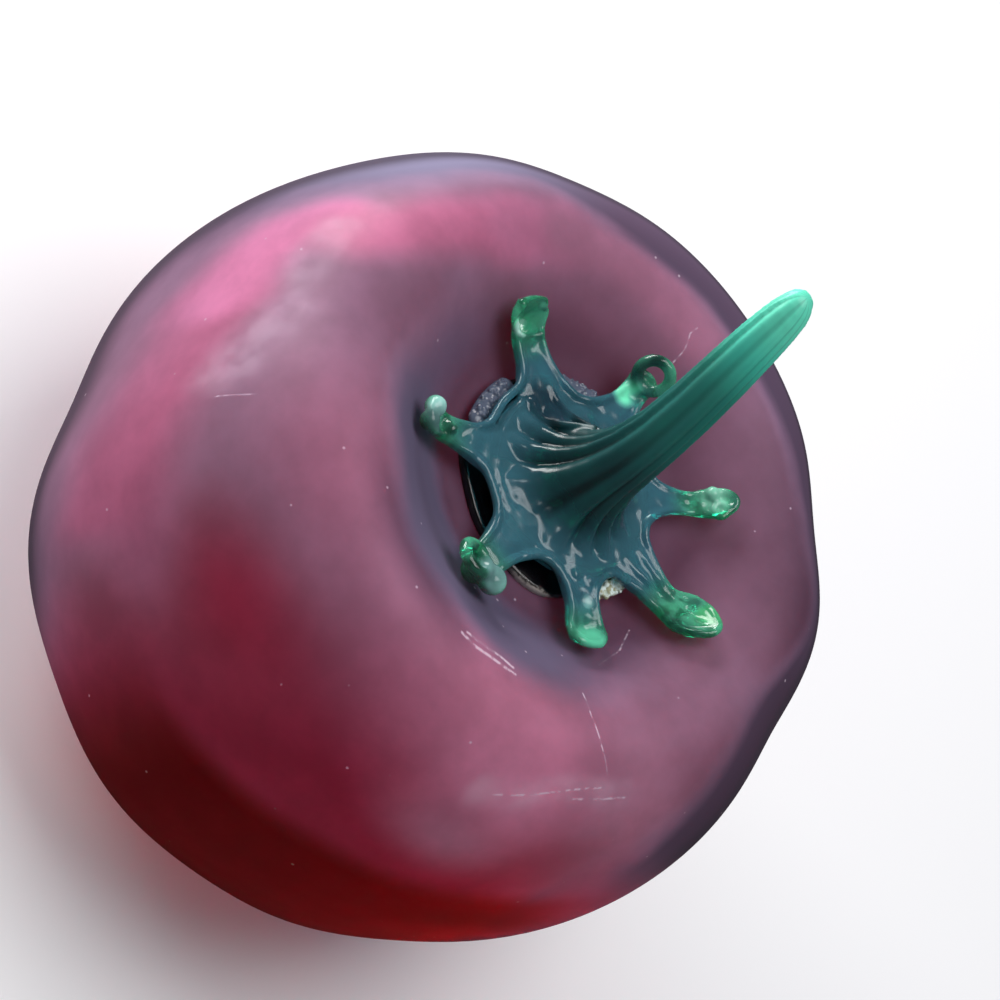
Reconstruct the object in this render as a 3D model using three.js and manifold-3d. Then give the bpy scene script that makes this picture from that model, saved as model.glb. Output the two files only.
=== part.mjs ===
// Glass tomato paperweight: a solid ruby glass fruit with a satin skin, and a green
// glass calyx and stem cemented into the dimple on top. Millimetres, +Z up, base at z = 0.
import * as THREE from "three";
import { mergeVertices } from "three/addons/utils/BufferGeometryUtils.js";
import Module from "manifold-3d";

const wasm = await Module();
wasm.setup();

// Fruit body
const BODY_RADIUS = 47.5;
const BODY_HEIGHT = 69;
const EQUATOR_HEIGHT = 36;
const CROWN_RADIUS = 31.5;
const DIMPLE_DEPTH = 8;
const SEAT_RADIUS = 15;
const BASE_RADIUS = 19;

// Fullness of the body's profile: how far each curve runs on before it turns
const SHOULDER_REACH = 8.5;
const SHOULDER_RISE = 17.5;
const BELLY_DROP = 22;
const BELLY_REACH = 17;
const BASE_EDGE_RISE = 1.5;
const DIMPLE_FLOOR_REACH = 4.5;
const DIMPLE_LIP_REACH = 7.5;

// Soft creases between the lobes of the fruit: azimuth in degrees, depth at the equator
const CREASE_HALF_WIDTH = 15;
const CREASES = [
  { azimuth: 22, depth: 2.2 },
  { azimuth: 60, depth: 1.9 },
  { azimuth: 144, depth: 0.9 },
  { azimuth: 176, depth: 0.7 },
  { azimuth: 218, depth: 2.1 },
  { azimuth: 262, depth: 1 },
  { azimuth: 303, depth: 0.8 },
  { azimuth: 331, depth: 1.2 },
];

// Cement: a bed under the calyx, and what was squeezed out at its edge
const CEMENT_MARGIN = 1.1;
const CEMENT_THICKNESS = 0.9;
const CEMENT_WAVE = 0.35;
const CEMENT_WAVES = [5, 8];
const GLUE_LINE = 0.05;
const SQUEEZE_GAP = 0.3;
const LUMP_RIPPLE = { along: 9, across: 7 };
const CRUST = { azimuth: 354, span: 18, width: 2.4, height: 1.3, ripple: 0.25 };
const FILM_LEFT = { azimuth: 199, span: 30, width: 2.2, height: 0.8, ripple: 0.08 };
const FILM_REAR = { azimuth: 136, span: 24, width: 2, height: 0.7, ripple: 0.08 };

// Calyx: a dished web, and sepals drawn out of its edge
const FOOT_RADIUS = 9.6;
const WEB_RADIUS = 12;
const WEB_LIFT = 0.7;
const WEB_THICKNESS = 2.2;
const SEPAL_ROOT_RADIUS = 5;
const SEPAL_ROOT_WIDTH = 8;
const SEPAL_WAIST_WIDTH = 3.6;
const SEPAL_TIP_WIDTH = 4.6;
const SEPAL_THICKNESS = 2.4;
const SEPAL_GROOVE = 0.7;
const SEPAL_CLEARANCE = 0.5;
const SEPAL_BEND = 0.6;
const SEPAL_WAIST_AT = 0.6;
const SEPAL_SPOON_AT = 0.85;
const SEPAL_END_FLAT = 0.2;
const SEPALS = [
  { azimuth: 18.5, reach: 23.4, curl: 0.3 },
  { azimuth: 61, reach: 22.6, curl: 0.6 },
  { azimuth: 112, reach: 20.8, curl: 2 },
  { azimuth: 165, reach: 21.2, curl: 1 },
  { azimuth: 231, reach: 22.2, curl: 0.5 },
  { azimuth: 283, reach: 22.6, curl: 0.3 },
  { azimuth: 335, reach: 19.8, curl: 0 },
];

// Stem: drawn up out of the web's middle, ribbed, leaning back and to one side
const STEM_LENGTH = 35;
const STEM_RADIUS = 2.9;
const STEM_TIP_RADIUS = 2.5;
const STEM_FLARE = 5.4;
const STEM_FLARE_LENGTH = 5.4;
const STEM_LEAN_BACK = 9.5;
const STEM_LEAN_SIDE = 6.4;
const STEM_BELLY_SIDE = 2.2;
const STEM_RIBS = 10;
const STEM_RIB_DEPTH = 0.3;
const STEM_SWEEP = 1.5;
const STEM_TAPER_AT = 0.7;
const STEM_ROUND_AT = 0.92;
const STEM_END_FLAT = 0.4;

// Fineness of the facets
const BODY_FACETS = 60;
const BODY_CURVE_STEPS = 11;
const DIMPLE_STEPS = 7;
const BED_FACETS = 48;
const WEB_FACETS = 42;
const LUMP_FACETS = [16, 10];
const SEPAL_FACETS = [12, 12];
const STEM_FACETS = [50, 16];

// Levels that follow from the sizes above
const SEAT_HEIGHT = BODY_HEIGHT - DIMPLE_DEPTH;
const CEMENT_RADIUS = SEAT_RADIUS - CEMENT_MARGIN;
const CEMENT_TOP = SEAT_HEIGHT + GLUE_LINE + CEMENT_THICKNESS;
const FOOT_HEIGHT = CEMENT_TOP + GLUE_LINE;
const WEB_TOP = FOOT_HEIGHT + WEB_LIFT + WEB_THICKNESS;

const { clamp, degToRad, euclideanModulo, lerp, radToDeg, smoothstep } = THREE.MathUtils;

// Share of full width near a rounded end that closes to a small flat
function endRounding(share, from, flat) {
  const past = clamp((share - from) / (1 - from), 0, 1);
  return Math.sqrt(1 - (1 - flat ** 2) * past ** 2);
}

// Joins a geometry's shared vertices, so that it is one closed mesh
function closed(geometry) {
  geometry.deleteAttribute("normal");
  geometry.deleteAttribute("uv");
  return mergeVertices(geometry);
}

// Moves every vertex of a geometry by a rule, and closes it
function reshape(geometry, rule) {
  const point = new THREE.Vector3();
  const place = geometry.getAttribute("position");
  for (let i = 0; i < place.count; i += 1) {
    point.fromBufferAttribute(place, i);
    rule(point);
    place.setXYZ(i, point.x, point.y, point.z);
  }
  return closed(geometry);
}

// A lathed form stood upright, its profile given as radius and height
function upright(profile, segments) {
  const points = profile.map(([radius, height]) => new THREE.Vector2(radius, height));
  return new THREE.LatheGeometry(points, segments).rotateX(Math.PI / 2);
}

function asSolid(geometry) {
  const mesh = new wasm.Mesh({
    numProp: 3,
    vertProperties: new Float32Array(geometry.getAttribute("position").array),
    triVerts: new Uint32Array(geometry.getIndex().array),
  });
  return new wasm.Manifold(mesh);
}

function asGeometry(solid) {
  const mesh = solid.getMesh();
  const geometry = new THREE.BufferGeometry();
  geometry.setAttribute("position", new THREE.BufferAttribute(mesh.vertProperties, 3));
  geometry.setIndex(new THREE.BufferAttribute(mesh.triVerts, 1));
  return geometry;
}

function material(color, roughness) {
  return new THREE.MeshStandardMaterial({ color, roughness, metalness: 0 });
}

function piece(name, geometry, look) {
  geometry.computeVertexNormals();
  const mesh = new THREE.Mesh(geometry, look);
  mesh.name = name;
  return mesh;
}

// Fruit body: seat, dimple, shoulder and belly, turned round the axis and creased
function curve(points) {
  return new THREE.CubicBezierCurve(...points.map(([radius, height]) => new THREE.Vector2(radius, height)));
}

const DIMPLE = curve([
  [SEAT_RADIUS, SEAT_HEIGHT],
  [SEAT_RADIUS + DIMPLE_FLOOR_REACH, SEAT_HEIGHT],
  [CROWN_RADIUS - DIMPLE_LIP_REACH, BODY_HEIGHT],
  [CROWN_RADIUS, BODY_HEIGHT],
]);
const SHOULDER = curve([
  [CROWN_RADIUS, BODY_HEIGHT],
  [CROWN_RADIUS + SHOULDER_REACH, BODY_HEIGHT],
  [BODY_RADIUS, EQUATOR_HEIGHT + SHOULDER_RISE],
  [BODY_RADIUS, EQUATOR_HEIGHT],
]);
const BELLY = curve([
  [BODY_RADIUS, EQUATOR_HEIGHT],
  [BODY_RADIUS, EQUATOR_HEIGHT - BELLY_DROP],
  [BASE_RADIUS + BELLY_REACH, BASE_EDGE_RISE],
  [BASE_RADIUS, 0],
]);

// Height of the dimple's surface at a radius
function dimpleHeight(radius) {
  let low = 0;
  let high = 1;
  for (let i = 0; i < 40; i += 1) {
    const middle = (low + high) / 2;
    if (DIMPLE.getPoint(middle).x < radius) {
      low = middle;
    } else {
      high = middle;
    }
  }
  return DIMPLE.getPoint(low).y;
}

function creaseDepth(azimuth) {
  let depth = 0;
  for (const crease of CREASES) {
    const away = euclideanModulo(azimuth - crease.azimuth + 180, 360) - 180;
    depth += crease.depth * Math.exp(-((away / CREASE_HALF_WIDTH) ** 2));
  }
  return depth;
}

// Creases fade out toward the seat above and the flat base below
function creasePoint(point) {
  const radius = Math.hypot(point.x, point.y);
  const inner = point.z > EQUATOR_HEIGHT ? SEAT_RADIUS : BASE_RADIUS;
  const weight = clamp((radius - inner) / (BODY_RADIUS - inner), 0, 1);
  const depth = weight * creaseDepth(radToDeg(Math.atan2(point.y, point.x)));
  const inward = new THREE.Vector3(-point.x, -point.y, EQUATOR_HEIGHT - point.z).normalize();
  point.addScaledVector(inward, depth);
}

const bodyProfile = [[0, 0], [BASE_RADIUS, 0]];
for (const point of BELLY.getPoints(BODY_CURVE_STEPS).reverse().slice(1)) {
  bodyProfile.push([point.x, point.y]);
}
for (const point of SHOULDER.getPoints(BODY_CURVE_STEPS).reverse().slice(1)) {
  bodyProfile.push([point.x, point.y]);
}
for (const point of DIMPLE.getPoints(DIMPLE_STEPS).reverse().slice(1)) {
  bodyProfile.push([point.x, point.y]);
}
bodyProfile.push([0, SEAT_HEIGHT]);
const bodyShape = reshape(upright(bodyProfile, BODY_FACETS), creasePoint);
const fruitBody = piece("fruit_body", bodyShape, material("#7c3350", 0.5));

// Cement bed: a flat pad with a wavering edge, under the calyx's foot
function waverEdge(point) {
  const azimuth = Math.atan2(point.y, point.x);
  const share = Math.hypot(point.x, point.y) / CEMENT_RADIUS;
  const [few, many] = CEMENT_WAVES;
  const wave = CEMENT_WAVE * share * (Math.sin(few * azimuth) + Math.cos(many * azimuth)) / 2;
  point.x += wave * Math.cos(azimuth);
  point.y += wave * Math.sin(azimuth);
}

const bedShape = upright([
  [0, SEAT_HEIGHT + GLUE_LINE],
  [CEMENT_RADIUS, SEAT_HEIGHT + GLUE_LINE],
  [CEMENT_RADIUS - CEMENT_THICKNESS / 3, CEMENT_TOP - CEMENT_THICKNESS / 3],
  [CEMENT_RADIUS - CEMENT_THICKNESS, CEMENT_TOP],
  [0, CEMENT_TOP],
], BED_FACETS);
const cementBed = piece("cement_bed", reshape(bedShape, waverEdge), material("#b9aeb4", 0.35));

// Squeezed-out cement: a low lump on the bed, along the edge of the calyx's web
function squeezeOut(lump) {
  const middle = WEB_RADIUS + SQUEEZE_GAP + lump.width / 2;
  const floor = CEMENT_TOP + 2 * GLUE_LINE;
  return reshape(new THREE.SphereGeometry(1, ...LUMP_FACETS), (point) => {
    const along = point.x;
    const across = -point.y;
    const azimuth = degToRad(lump.azimuth + along * lump.span / 2);
    const wave = Math.sin(LUMP_RIPPLE.along * along) * Math.cos(LUMP_RIPPLE.across * across);
    const rise = lump.height * (1 + lump.ripple * wave);
    const radius = middle + across * lump.width / 2;
    const height = point.z * (point.z > 0 ? rise : GLUE_LINE);
    point.set(radius * Math.cos(azimuth), radius * Math.sin(azimuth), floor + height);
  });
}

const cementCrust = piece("cement_crust", squeezeOut(CRUST), material("#cfc7ab", 0.85));
const cementFilmLeft = piece("cement_film_left", squeezeOut(FILM_LEFT), material("#b3a3b0", 0.2));
const cementFilmRear = piece("cement_film_rear", squeezeOut(FILM_REAR), material("#b3a3b0", 0.2));

// Calyx web: a low dish on a foot, thicker in the middle
function makeWeb() {
  const edge = WEB_THICKNESS / 2;
  const slack = edge * (1 - Math.SQRT1_2);
  const underside = FOOT_HEIGHT + WEB_LIFT;
  const profile = [
    [0, FOOT_HEIGHT],
    [FOOT_RADIUS, FOOT_HEIGHT],
    [WEB_RADIUS - edge, underside],
    [WEB_RADIUS - slack, underside + slack],
    [WEB_RADIUS, underside + edge],
    [WEB_RADIUS - slack, WEB_TOP - slack],
    [WEB_RADIUS - edge, WEB_TOP],
    [0, WEB_TOP],
  ];
  return closed(upright(profile, WEB_FACETS));
}

// One sepal: a flattened finger that follows the dimple's wall, grooved, with a spoon tip
function makeSepal(sepal) {
  const half = SEPAL_THICKNESS / 2;
  const level = WEB_TOP - half;
  const azimuth = degToRad(sepal.azimuth);
  return reshape(new THREE.CylinderGeometry(1, 1, 1, ...SEPAL_FACETS), (point) => {
    const share = point.y + 0.5;
    const radius = lerp(SEPAL_ROOT_RADIUS, sepal.reach, share);
    const narrowing = Math.sin(Math.min(share / SEPAL_WAIST_AT, 1) * Math.PI / 2);
    const waist = lerp(SEPAL_ROOT_WIDTH, SEPAL_WAIST_WIDTH, narrowing);
    const width = lerp(waist, SEPAL_TIP_WIDTH, smoothstep(share, SEPAL_WAIST_AT, SEPAL_SPOON_AT));
    const round = endRounding(share, SEPAL_SPOON_AT, SEPAL_END_FLAT);
    const wall = dimpleHeight(radius) + SEPAL_CLEARANCE + half;
    const bend = (level + wall + Math.hypot(level - wall, SEPAL_BEND)) / 2;
    const hollow = smoothstep(share, SEPAL_WAIST_AT / 2, SEPAL_SPOON_AT);
    const groove = point.z > 0 ? SEPAL_GROOVE * (1 - Math.abs(point.x)) * hollow : 0;
    const across = -point.x * round * width / 2;
    const height = bend + sepal.curl * share ** 3 + (point.z * half - groove) * round;
    point.set(
      radius * Math.cos(azimuth) - across * Math.sin(azimuth),
      radius * Math.sin(azimuth) + across * Math.cos(azimuth),
      height,
    );
  });
}

// Stem: a flared root that narrows into a ribbed, leaning shaft with a rounded end
function makeStem() {
  const foot = WEB_TOP - WEB_THICKNESS / 2;
  const shaft = new THREE.CylinderGeometry(1, 1, 1, ...STEM_FACETS).rotateX(Math.PI / 2);
  return reshape(shaft, (point) => {
    const share = point.z + 0.5;
    const height = share * STEM_LENGTH;
    const flare = STEM_FLARE * Math.exp(-height / STEM_FLARE_LENGTH);
    const taper = lerp(STEM_RADIUS, STEM_TIP_RADIUS, smoothstep(share, STEM_TAPER_AT, 1));
    const round = endRounding(share, STEM_ROUND_AT, STEM_END_FLAT);
    const azimuth = Math.atan2(point.y, point.x);
    const rib = STEM_RIB_DEPTH * Math.cos(STEM_RIBS * azimuth);
    const radius = (taper + flare + rib) * round * Math.hypot(point.x, point.y);
    const belly = STEM_BELLY_SIDE * Math.sin(Math.PI * share) * (1 - share);
    const side = belly - STEM_LEAN_SIDE * share ** STEM_SWEEP;
    const back = STEM_LEAN_BACK * share ** STEM_SWEEP;
    point.set(side + radius * Math.cos(azimuth), back + radius * Math.sin(azimuth), foot + height);
  });
}

let green = asSolid(makeWeb());
for (const sepal of SEPALS) {
  green = green.add(asSolid(makeSepal(sepal)));
}
green = green.add(asSolid(makeStem()));
const calyxAndStem = piece("calyx_and_stem", asGeometry(green), material("#1d5c50", 0.25));

const paperweight = new THREE.Group();
paperweight.name = "glass_tomato_paperweight";
paperweight.add(fruitBody, cementBed, cementCrust, cementFilmLeft, cementFilmRear, calyxAndStem);

export default paperweight;
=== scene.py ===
import math
import random

import bpy
import numpy as np
from mathutils import Matrix, Vector


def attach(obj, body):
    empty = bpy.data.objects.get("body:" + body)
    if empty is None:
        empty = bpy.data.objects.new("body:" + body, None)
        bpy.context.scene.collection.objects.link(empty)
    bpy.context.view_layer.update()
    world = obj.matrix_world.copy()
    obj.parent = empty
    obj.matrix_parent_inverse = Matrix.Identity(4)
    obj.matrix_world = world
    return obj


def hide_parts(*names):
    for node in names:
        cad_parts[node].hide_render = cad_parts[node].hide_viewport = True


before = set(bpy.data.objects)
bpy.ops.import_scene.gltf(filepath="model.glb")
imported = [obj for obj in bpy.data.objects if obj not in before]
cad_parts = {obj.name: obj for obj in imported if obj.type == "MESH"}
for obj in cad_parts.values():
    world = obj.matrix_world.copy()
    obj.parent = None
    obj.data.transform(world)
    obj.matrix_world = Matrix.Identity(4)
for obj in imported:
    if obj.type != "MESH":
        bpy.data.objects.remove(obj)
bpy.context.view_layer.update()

# The fruit: one solid gather of ruby glass, marvered into soft lobes, with a dimple pressed
# into the top and a flat ground underneath. It was dipped in acid, which left a satin skin.
# The skin is hazy where it turns away and a little scratched. Its colour also holds painted
# light and shade: clear deep red low down, pink glows near the crown, a shaded dimple and dark rims.
MM = 0.001
WELD = 0.01 * MM
SEAT_RADIUS = 15
BASE_RADIUS = 19
BODY_RADIUS = 47.5
EQUATOR_HEIGHT = 36
# Half profile from the middle of the base to the middle of the dimple: handle before, knot, handle after.
FRUIT_PROFILE = (
    ((0, 0), (0, 0), (10, 0)),
    ((12, 0), (BASE_RADIUS, 0), (36, 1.5)),
    ((BODY_RADIUS, 14), (BODY_RADIUS, EQUATOR_HEIGHT), (BODY_RADIUS, 53.5)),
    ((40, 69), (31.5, 69), (24, 69)),
    ((19.5, 61), (SEAT_RADIUS, 61), (12, 61)),
    ((4, 61), (0, 61), (0, 61)),
)
PROFILE_STEPS = 36
TURN_STEPS = 252
# Creases between the lobes: direction in degrees, depth.
FRUIT_CREASES = (
    (22, 2.2),
    (60, 1.9),
    (144, 0.9),
    (176, 0.7),
    (218, 2.1),
    (262, 1.0),
    (303, 0.8),
    (331, 1.2),
)
CREASE_HALF_WIDTH = 15
DEEPEST_CREASE = 3

bpy.ops.object.select_all(action="DESELECT")
bpy.ops.curve.primitive_bezier_curve_add()
fruit = bpy.context.object
fruit.name = "fruit_skin"
profile = fruit.data.splines[0]
profile.bezier_points.add(len(FRUIT_PROFILE) - 2)
for knot, (before, at, after) in zip(profile.bezier_points, FRUIT_PROFILE):
    knot.handle_left_type = "FREE"
    knot.handle_right_type = "FREE"
    knot.co = (at[0] * MM, 0, at[1] * MM)
    knot.handle_left = (before[0] * MM, 0, before[1] * MM)
    knot.handle_right = (after[0] * MM, 0, after[1] * MM)
fruit.data.dimensions = "3D"
profile.resolution_u = PROFILE_STEPS
bpy.ops.object.convert(target="MESH")
bpy.ops.object.mode_set(mode="EDIT")
bpy.ops.mesh.select_all(action="SELECT")
bpy.ops.mesh.spin(steps=TURN_STEPS, angle=2 * math.pi, center=(0, 0, 0), axis=(0, 0, 1))
bpy.ops.mesh.select_all(action="SELECT")
bpy.ops.mesh.remove_doubles(threshold=WELD)
bpy.ops.mesh.normals_make_consistent(inside=False)
bpy.ops.object.mode_set(mode="OBJECT")
lobes = fruit.vertex_groups.new(name="creases")
for vertex in fruit.data.vertices:
    radius = math.hypot(vertex.co.x, vertex.co.y) / MM
    inner = SEAT_RADIUS if vertex.co.z > EQUATOR_HEIGHT * MM else BASE_RADIUS
    fade = min(max((radius - inner) / (BODY_RADIUS - inner), 0), 1)
    azimuth = math.degrees(math.atan2(vertex.co.y, vertex.co.x))
    depth = 0
    for crease, deep in FRUIT_CREASES:
        away = (azimuth - crease + 180) % 360 - 180
        depth += deep * math.exp(-((away / CREASE_HALF_WIDTH) ** 2))
    lobes.add([vertex.index], fade * depth / DEEPEST_CREASE, "REPLACE")
press = fruit.modifiers.new("press_lobes", "DISPLACE")
press.vertex_group = "creases"
press.direction = "NORMAL"
press.mid_level = 0
press.strength = -DEEPEST_CREASE * MM
bpy.ops.object.modifier_apply(modifier=press.name)
bpy.ops.object.shade_smooth()


def put(finish, kind, values, **settings):
    """Add a shader node to a finish and fill its inputs with values or with other nodes' outputs."""
    made = finish.node_tree.nodes.new("ShaderNode" + kind)
    for name, value in settings.items():
        setattr(made, name, value)
    for name, value in values.items():
        if isinstance(value, bpy.types.NodeSocket):
            finish.node_tree.links.new(value, made.inputs[name])
        else:
            made.inputs[name].default_value = value
    return made.outputs


def ease(finish, value, low, high, at_low=0, at_high=1):
    """Pass smoothly from one value to another as the input goes from low to high."""
    limits = {"Value": value, "From Min": low, "From Max": high, "To Min": at_low, "To Max": at_high}
    return put(finish, "MapRange", limits, interpolation_type="SMOOTHSTEP")["Result"]


def blend(finish, share, below, above):
    """Mix two colours."""
    return put(finish, "Mix", {"Factor": share, "A": below, "B": above}, data_type="RGBA")["Result"]


def reckon(finish, operation, first, second=0, third=0):
    """One step of arithmetic on the values of a finish."""
    return put(finish, "Math", {0: first, 1: second, 2: third}, operation=operation)["Value"]


def between(finish, share, below, above):
    """Pass from one value to another by a share."""
    return put(finish, "Mix", {"Factor": share, "A": below, "B": above})["Result"]


def lay_over(finish, look, share, colour, clearness):
    """Lay a colour and a clearness over the colour and clearness so far, by a share."""
    return blend(finish, share, look[0], colour), between(finish, share, look[1], clearness)


def soft_spot(finish, place, middle, reach, core=0):
    """1 in the middle of a soft round patch, as far as its core, and 0 outside it."""
    offset = put(finish, "VectorMath", {0: place, 1: Vector(middle) * MM}, operation="SUBTRACT")["Vector"]
    shares = put(finish, "VectorMath", {0: offset, 1: Vector(reach) * MM}, operation="DIVIDE")["Vector"]
    return ease(finish, put(finish, "VectorMath", {0: shares}, operation="LENGTH")["Value"], 1, core)


# Marks on the skin are measured with heights shortened, since most lie on the flat of the crown.
SKIN_PLANE = Vector((1, 1, 0.3))


def near_line(finish, place, points, width):
    """1 on a soft line through points on the skin, 0 away from it."""
    mark = 0
    for start, end in zip(points, points[1:]):
        run = (Vector(end) - Vector(start)) * SKIN_PLANE * MM
        origin = Vector(start) * SKIN_PLANE * MM
        offset = put(finish, "VectorMath", {0: place, 1: origin}, operation="SUBTRACT")["Vector"]
        along = put(finish, "VectorMath", {0: offset, 1: run}, operation="DOT_PRODUCT")["Value"]
        share = put(finish, "MapRange", {"Value": along, "From Max": run.length_squared})["Result"]
        foot = put(finish, "VectorMath", {0: run, "Scale": share}, operation="SCALE")["Vector"]
        away = put(finish, "VectorMath", {0: offset, 1: foot}, operation="DISTANCE")["Value"]
        mark = reckon(finish, "MAXIMUM", mark, ease(finish, away, width * MM, 0.2 * width * MM))
    return mark


def from_axis(finish, place):
    """Distance of a place from the fruit's axis."""
    flat = put(finish, "VectorMath", {0: place, 1: (1, 1, 0)}, operation="MULTIPLY")["Vector"]
    return put(finish, "VectorMath", {0: flat}, operation="LENGTH")["Value"]


# Colours of the glass, and how clear it is where it has them. The reds, the dimple's colour
# and the hazes are painted light and shade.
BODY_COLOUR = (0.54, 0.31, 0.49, 1)
BODY_CLEARNESS = 0.68
WINE_RED_SHADE = (0.82, 0.05, 0.20, 1)
WINE_SHADE_CLEARNESS = 0.82
DEEP_RED_SHADE = (0.50, 0.001, 0.03, 1)
DEEP_SHADE_CLEARNESS = 0.98
BEHIND_RED_SHADE = (0.60, 0.05, 0.17, 1)
BEHIND_SHADE_CLEARNESS = 0.58
DIMPLE_SHADE = (0.20, 0.13, 0.23, 1)
DIMPLE_SHADE_CLEARNESS = 0.7
LIMB_HAZE_SHADE = (0.10, 0.066, 0.11, 1)
DIMPLE_HAZE_SHADE = (0.12, 0.10, 0.165, 1)
TOP_HAZE_LIT = (0.22, 0.21, 0.32, 1)
FAR_HAZE_SHADE = (0.06, 0.036, 0.06, 1)
LEFT_HAZE_LIT = (0.21, 0.11, 0.17, 1)
EDGE_PAINTED_SHADE = (0.05, 0.04, 0.06, 1)
HAZE_CLEARNESS = 0.12
HAZE_ROUGHNESS = 0.85
WEAR_AND_SHEEN_COLOUR = (0.74, 0.60, 0.70, 1)
WEAR_AND_SHEEN_CLEARNESS = 0.1
RUBY_SHEEN = (0.8, 0.5, 0.65, 1)
RUBY_DEPTHS = (0.95, 0.03, 0.20, 1)
RUBY_DENSITY = 45

# Soft places on the skin where painted light and shade lie: middle, reach, and the share of the
# reach that is full.
LOW_SIDE_SHADE = ((26, -40, 30), (50, 36, 50), 0.5)
LOW_RIGHT_SHADE = ((43, -14, 42), (24, 22, 22), 0.2)
LOW_RIGHT_SHADE_SHARE = 0.7
UNDER_SIDE = ((30, -36, 30), (40, 30, 60), 0.6)
UNDER_SLANT = -0.22
UNDER_FROM = 43.5
UNDER_FULL = 38
BEHIND_FROM = 42
BEHIND_FULL = 4
DIMPLE_SHADE_PLACE = ((0, -2, 62), (28.5, 28.5, 12), 0.6)
DIMPLE_SHADE_SHARE = 0.88
NEAR_LEFT_LIT = ((-32, -32, 30), (30, 30, 40))
NEAR_TOP_LIT = ((-38, 6, 58), (22, 28, 22))
FAR_EDGE_SHADE = ((42, 14, 58), (20, 30, 26), 0.3)
REAR_RIM_SHADE = ((-12, 32, 69), (38, 26, 9), 0.3)

# Patches of painted light and shade, pink glows and darker shades: middle, reach, tint, clearness.
RUBY_LIGHT_AND_SHADE_PATCHES = (
    ((-3, -42, 55), (18, 10, 12), (0.80, 0.07, 0.20, 1), 0.80),
    ((-10, -32, 69), (22, 18, 12), (0.70, 0.28, 0.46, 1), 0.62),
    ((20, -29, 69), (27, 24, 18), (0.82, 0.29, 0.47, 1), 0.52),
    ((35, -15, 66), (12, 12, 9), (0.62, 0.32, 0.48, 1), 0.54),
    ((16, -17, 66), (12, 12, 9), (0.16, 0.09, 0.15, 1), 0.72),
    ((26, 24, 66), (26, 22, 14), (0.28, 0.155, 0.26, 1), 0.74),
    ((38, 8, 64), (10, 20, 12), (0.12, 0.06, 0.10, 1), 0.80),
    ((-15.5, -43, 46), (12, 10, 11), (0.62, 0.20, 0.37, 1), 0.56),
    ((27, -27, 64.5), (16, 14, 9), (0.90, 0.34, 0.54, 1), 0.45),
    ((28, -32, 57), (14, 13, 8), (0.72, 0.32, 0.50, 1), 0.58),
    ((0, -27, 69), (16, 7, 6), (0.20, 0.13, 0.23, 1), 0.70),
    ((39, -24, 42), (16, 16, 7), (0.24, 0.001, 0.012, 1), 0.98),
)

# Painted glows, of light through the glass, along the near left and the crown: half width,
# clearness, tint, line.
PAINTED_GLOWS = (
    (
        6, 0.55, (0.66, 0.19, 0.36, 1),
        ((-20, -42.4, 41.5), (-25.8, -38.3, 45.9), (-31.7, -30.9, 49.5), (-34.8, -25.4, 52.8)),
    ),
    (
        5, 0.45, (0.85, 0.27, 0.51, 1),
        ((-34.8, -25.4, 52.8), (-37.5, -20.3, 56.1), (-38.4, -16.6, 59), (-37.4, -12.9, 63.5)),
    ),
    (
        6, 0.50, (0.77, 0.24, 0.43, 1),
        ((-34.3, -13.9, 66.2), (-33, -10.5, 67.9), (-31.5, -4, 68.8), (-28.5, 5.5, 68.7)),
    ),
    (
        6, 0.48, (0.80, 0.28, 0.49, 1),
        ((-28.5, 5.5, 68.7), (-26, 12.5, 68.5)),
    ),
    (
        5, 0.55, (0.68, 0.30, 0.48, 1),
        ((-26, 12.5, 68.5), (-21.2, 19, 68.4), (-15, 23.5, 68.2), (-8.3, 25.5, 68)),
    ),
)

# Scratches and scuffs: half width, line. The last two scuffs, on the near left, are pale
# streaks of painted sheen highlight.
SCRATCHES = (
    (0.32, ((9.2, -27.8, 68.6), (10.9, -27.1, 68.5), (12.7, -25.6, 68.4), (15.7, -23.4, 68.3))),
    (0.28, ((9.4, -27, 68.5), (11.1, -25.8, 68.3), (13.2, -24, 68), (15, -23, 68))),
    (0.16, ((21.1, -15.1, 67.3), (23.5, -16.3, 68.3), (26.8, -17.1, 68.4), (31.2, -17.5, 66.7))),
    (0.18, ((-24.4, -35, 57.7), (-22.5, -33.5, 62.1))),
    (0.16, ((-7.3, 22, 65.8), (-8, 23.5, 66.8), (-9.5, 24.7, 67.7), (-9.7, 25.7, 68.2))),
    (0.2, ((26, -29.5, 63.8), (27.8, -26.2, 64.8), (29.4, -21.9, 66), (31, -18, 66.8))),
    (0.2, ((30.5, -21.5, 65.2), (31.9, -18.6, 65.8), (33.2, -15.4, 65.9))),
    (0.15, ((19.6, -8.5, 64.4), (19.4, -3.7, 63.2), (18.1, 0, 62.1))),
)
SCUFFS_AND_SHEEN_STREAKS = (
    (2.2, ((24.9, -30.6, 63.2), (27.5, -27, 64.3), (28.9, -22.9, 65.9), (32.7, -15.9, 66.2))),
    (2.6, ((-36, -14.5, 64.5), (-34.4, -18.1, 63.4), (-32.1, -21.7, 62.7), (-29.9, -24.3, 62.9))),
    (3.4, ((-29.9, -24.3, 62.9), (-28.6, -27.4, 61.6), (-27.4, -30.5, 59.9), (-26, -33.1, 58.4))),
)

ruby = bpy.data.materials.new("ruby_satin_glass")
ruby.use_nodes = True
glass = ruby.node_tree.nodes["Principled BSDF"]
place = put(ruby, "TexCoord", {})["Object"]
skin_plane = put(ruby, "VectorMath", {0: place, 1: SKIN_PLANE}, operation="MULTIPLY")["Vector"]

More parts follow.
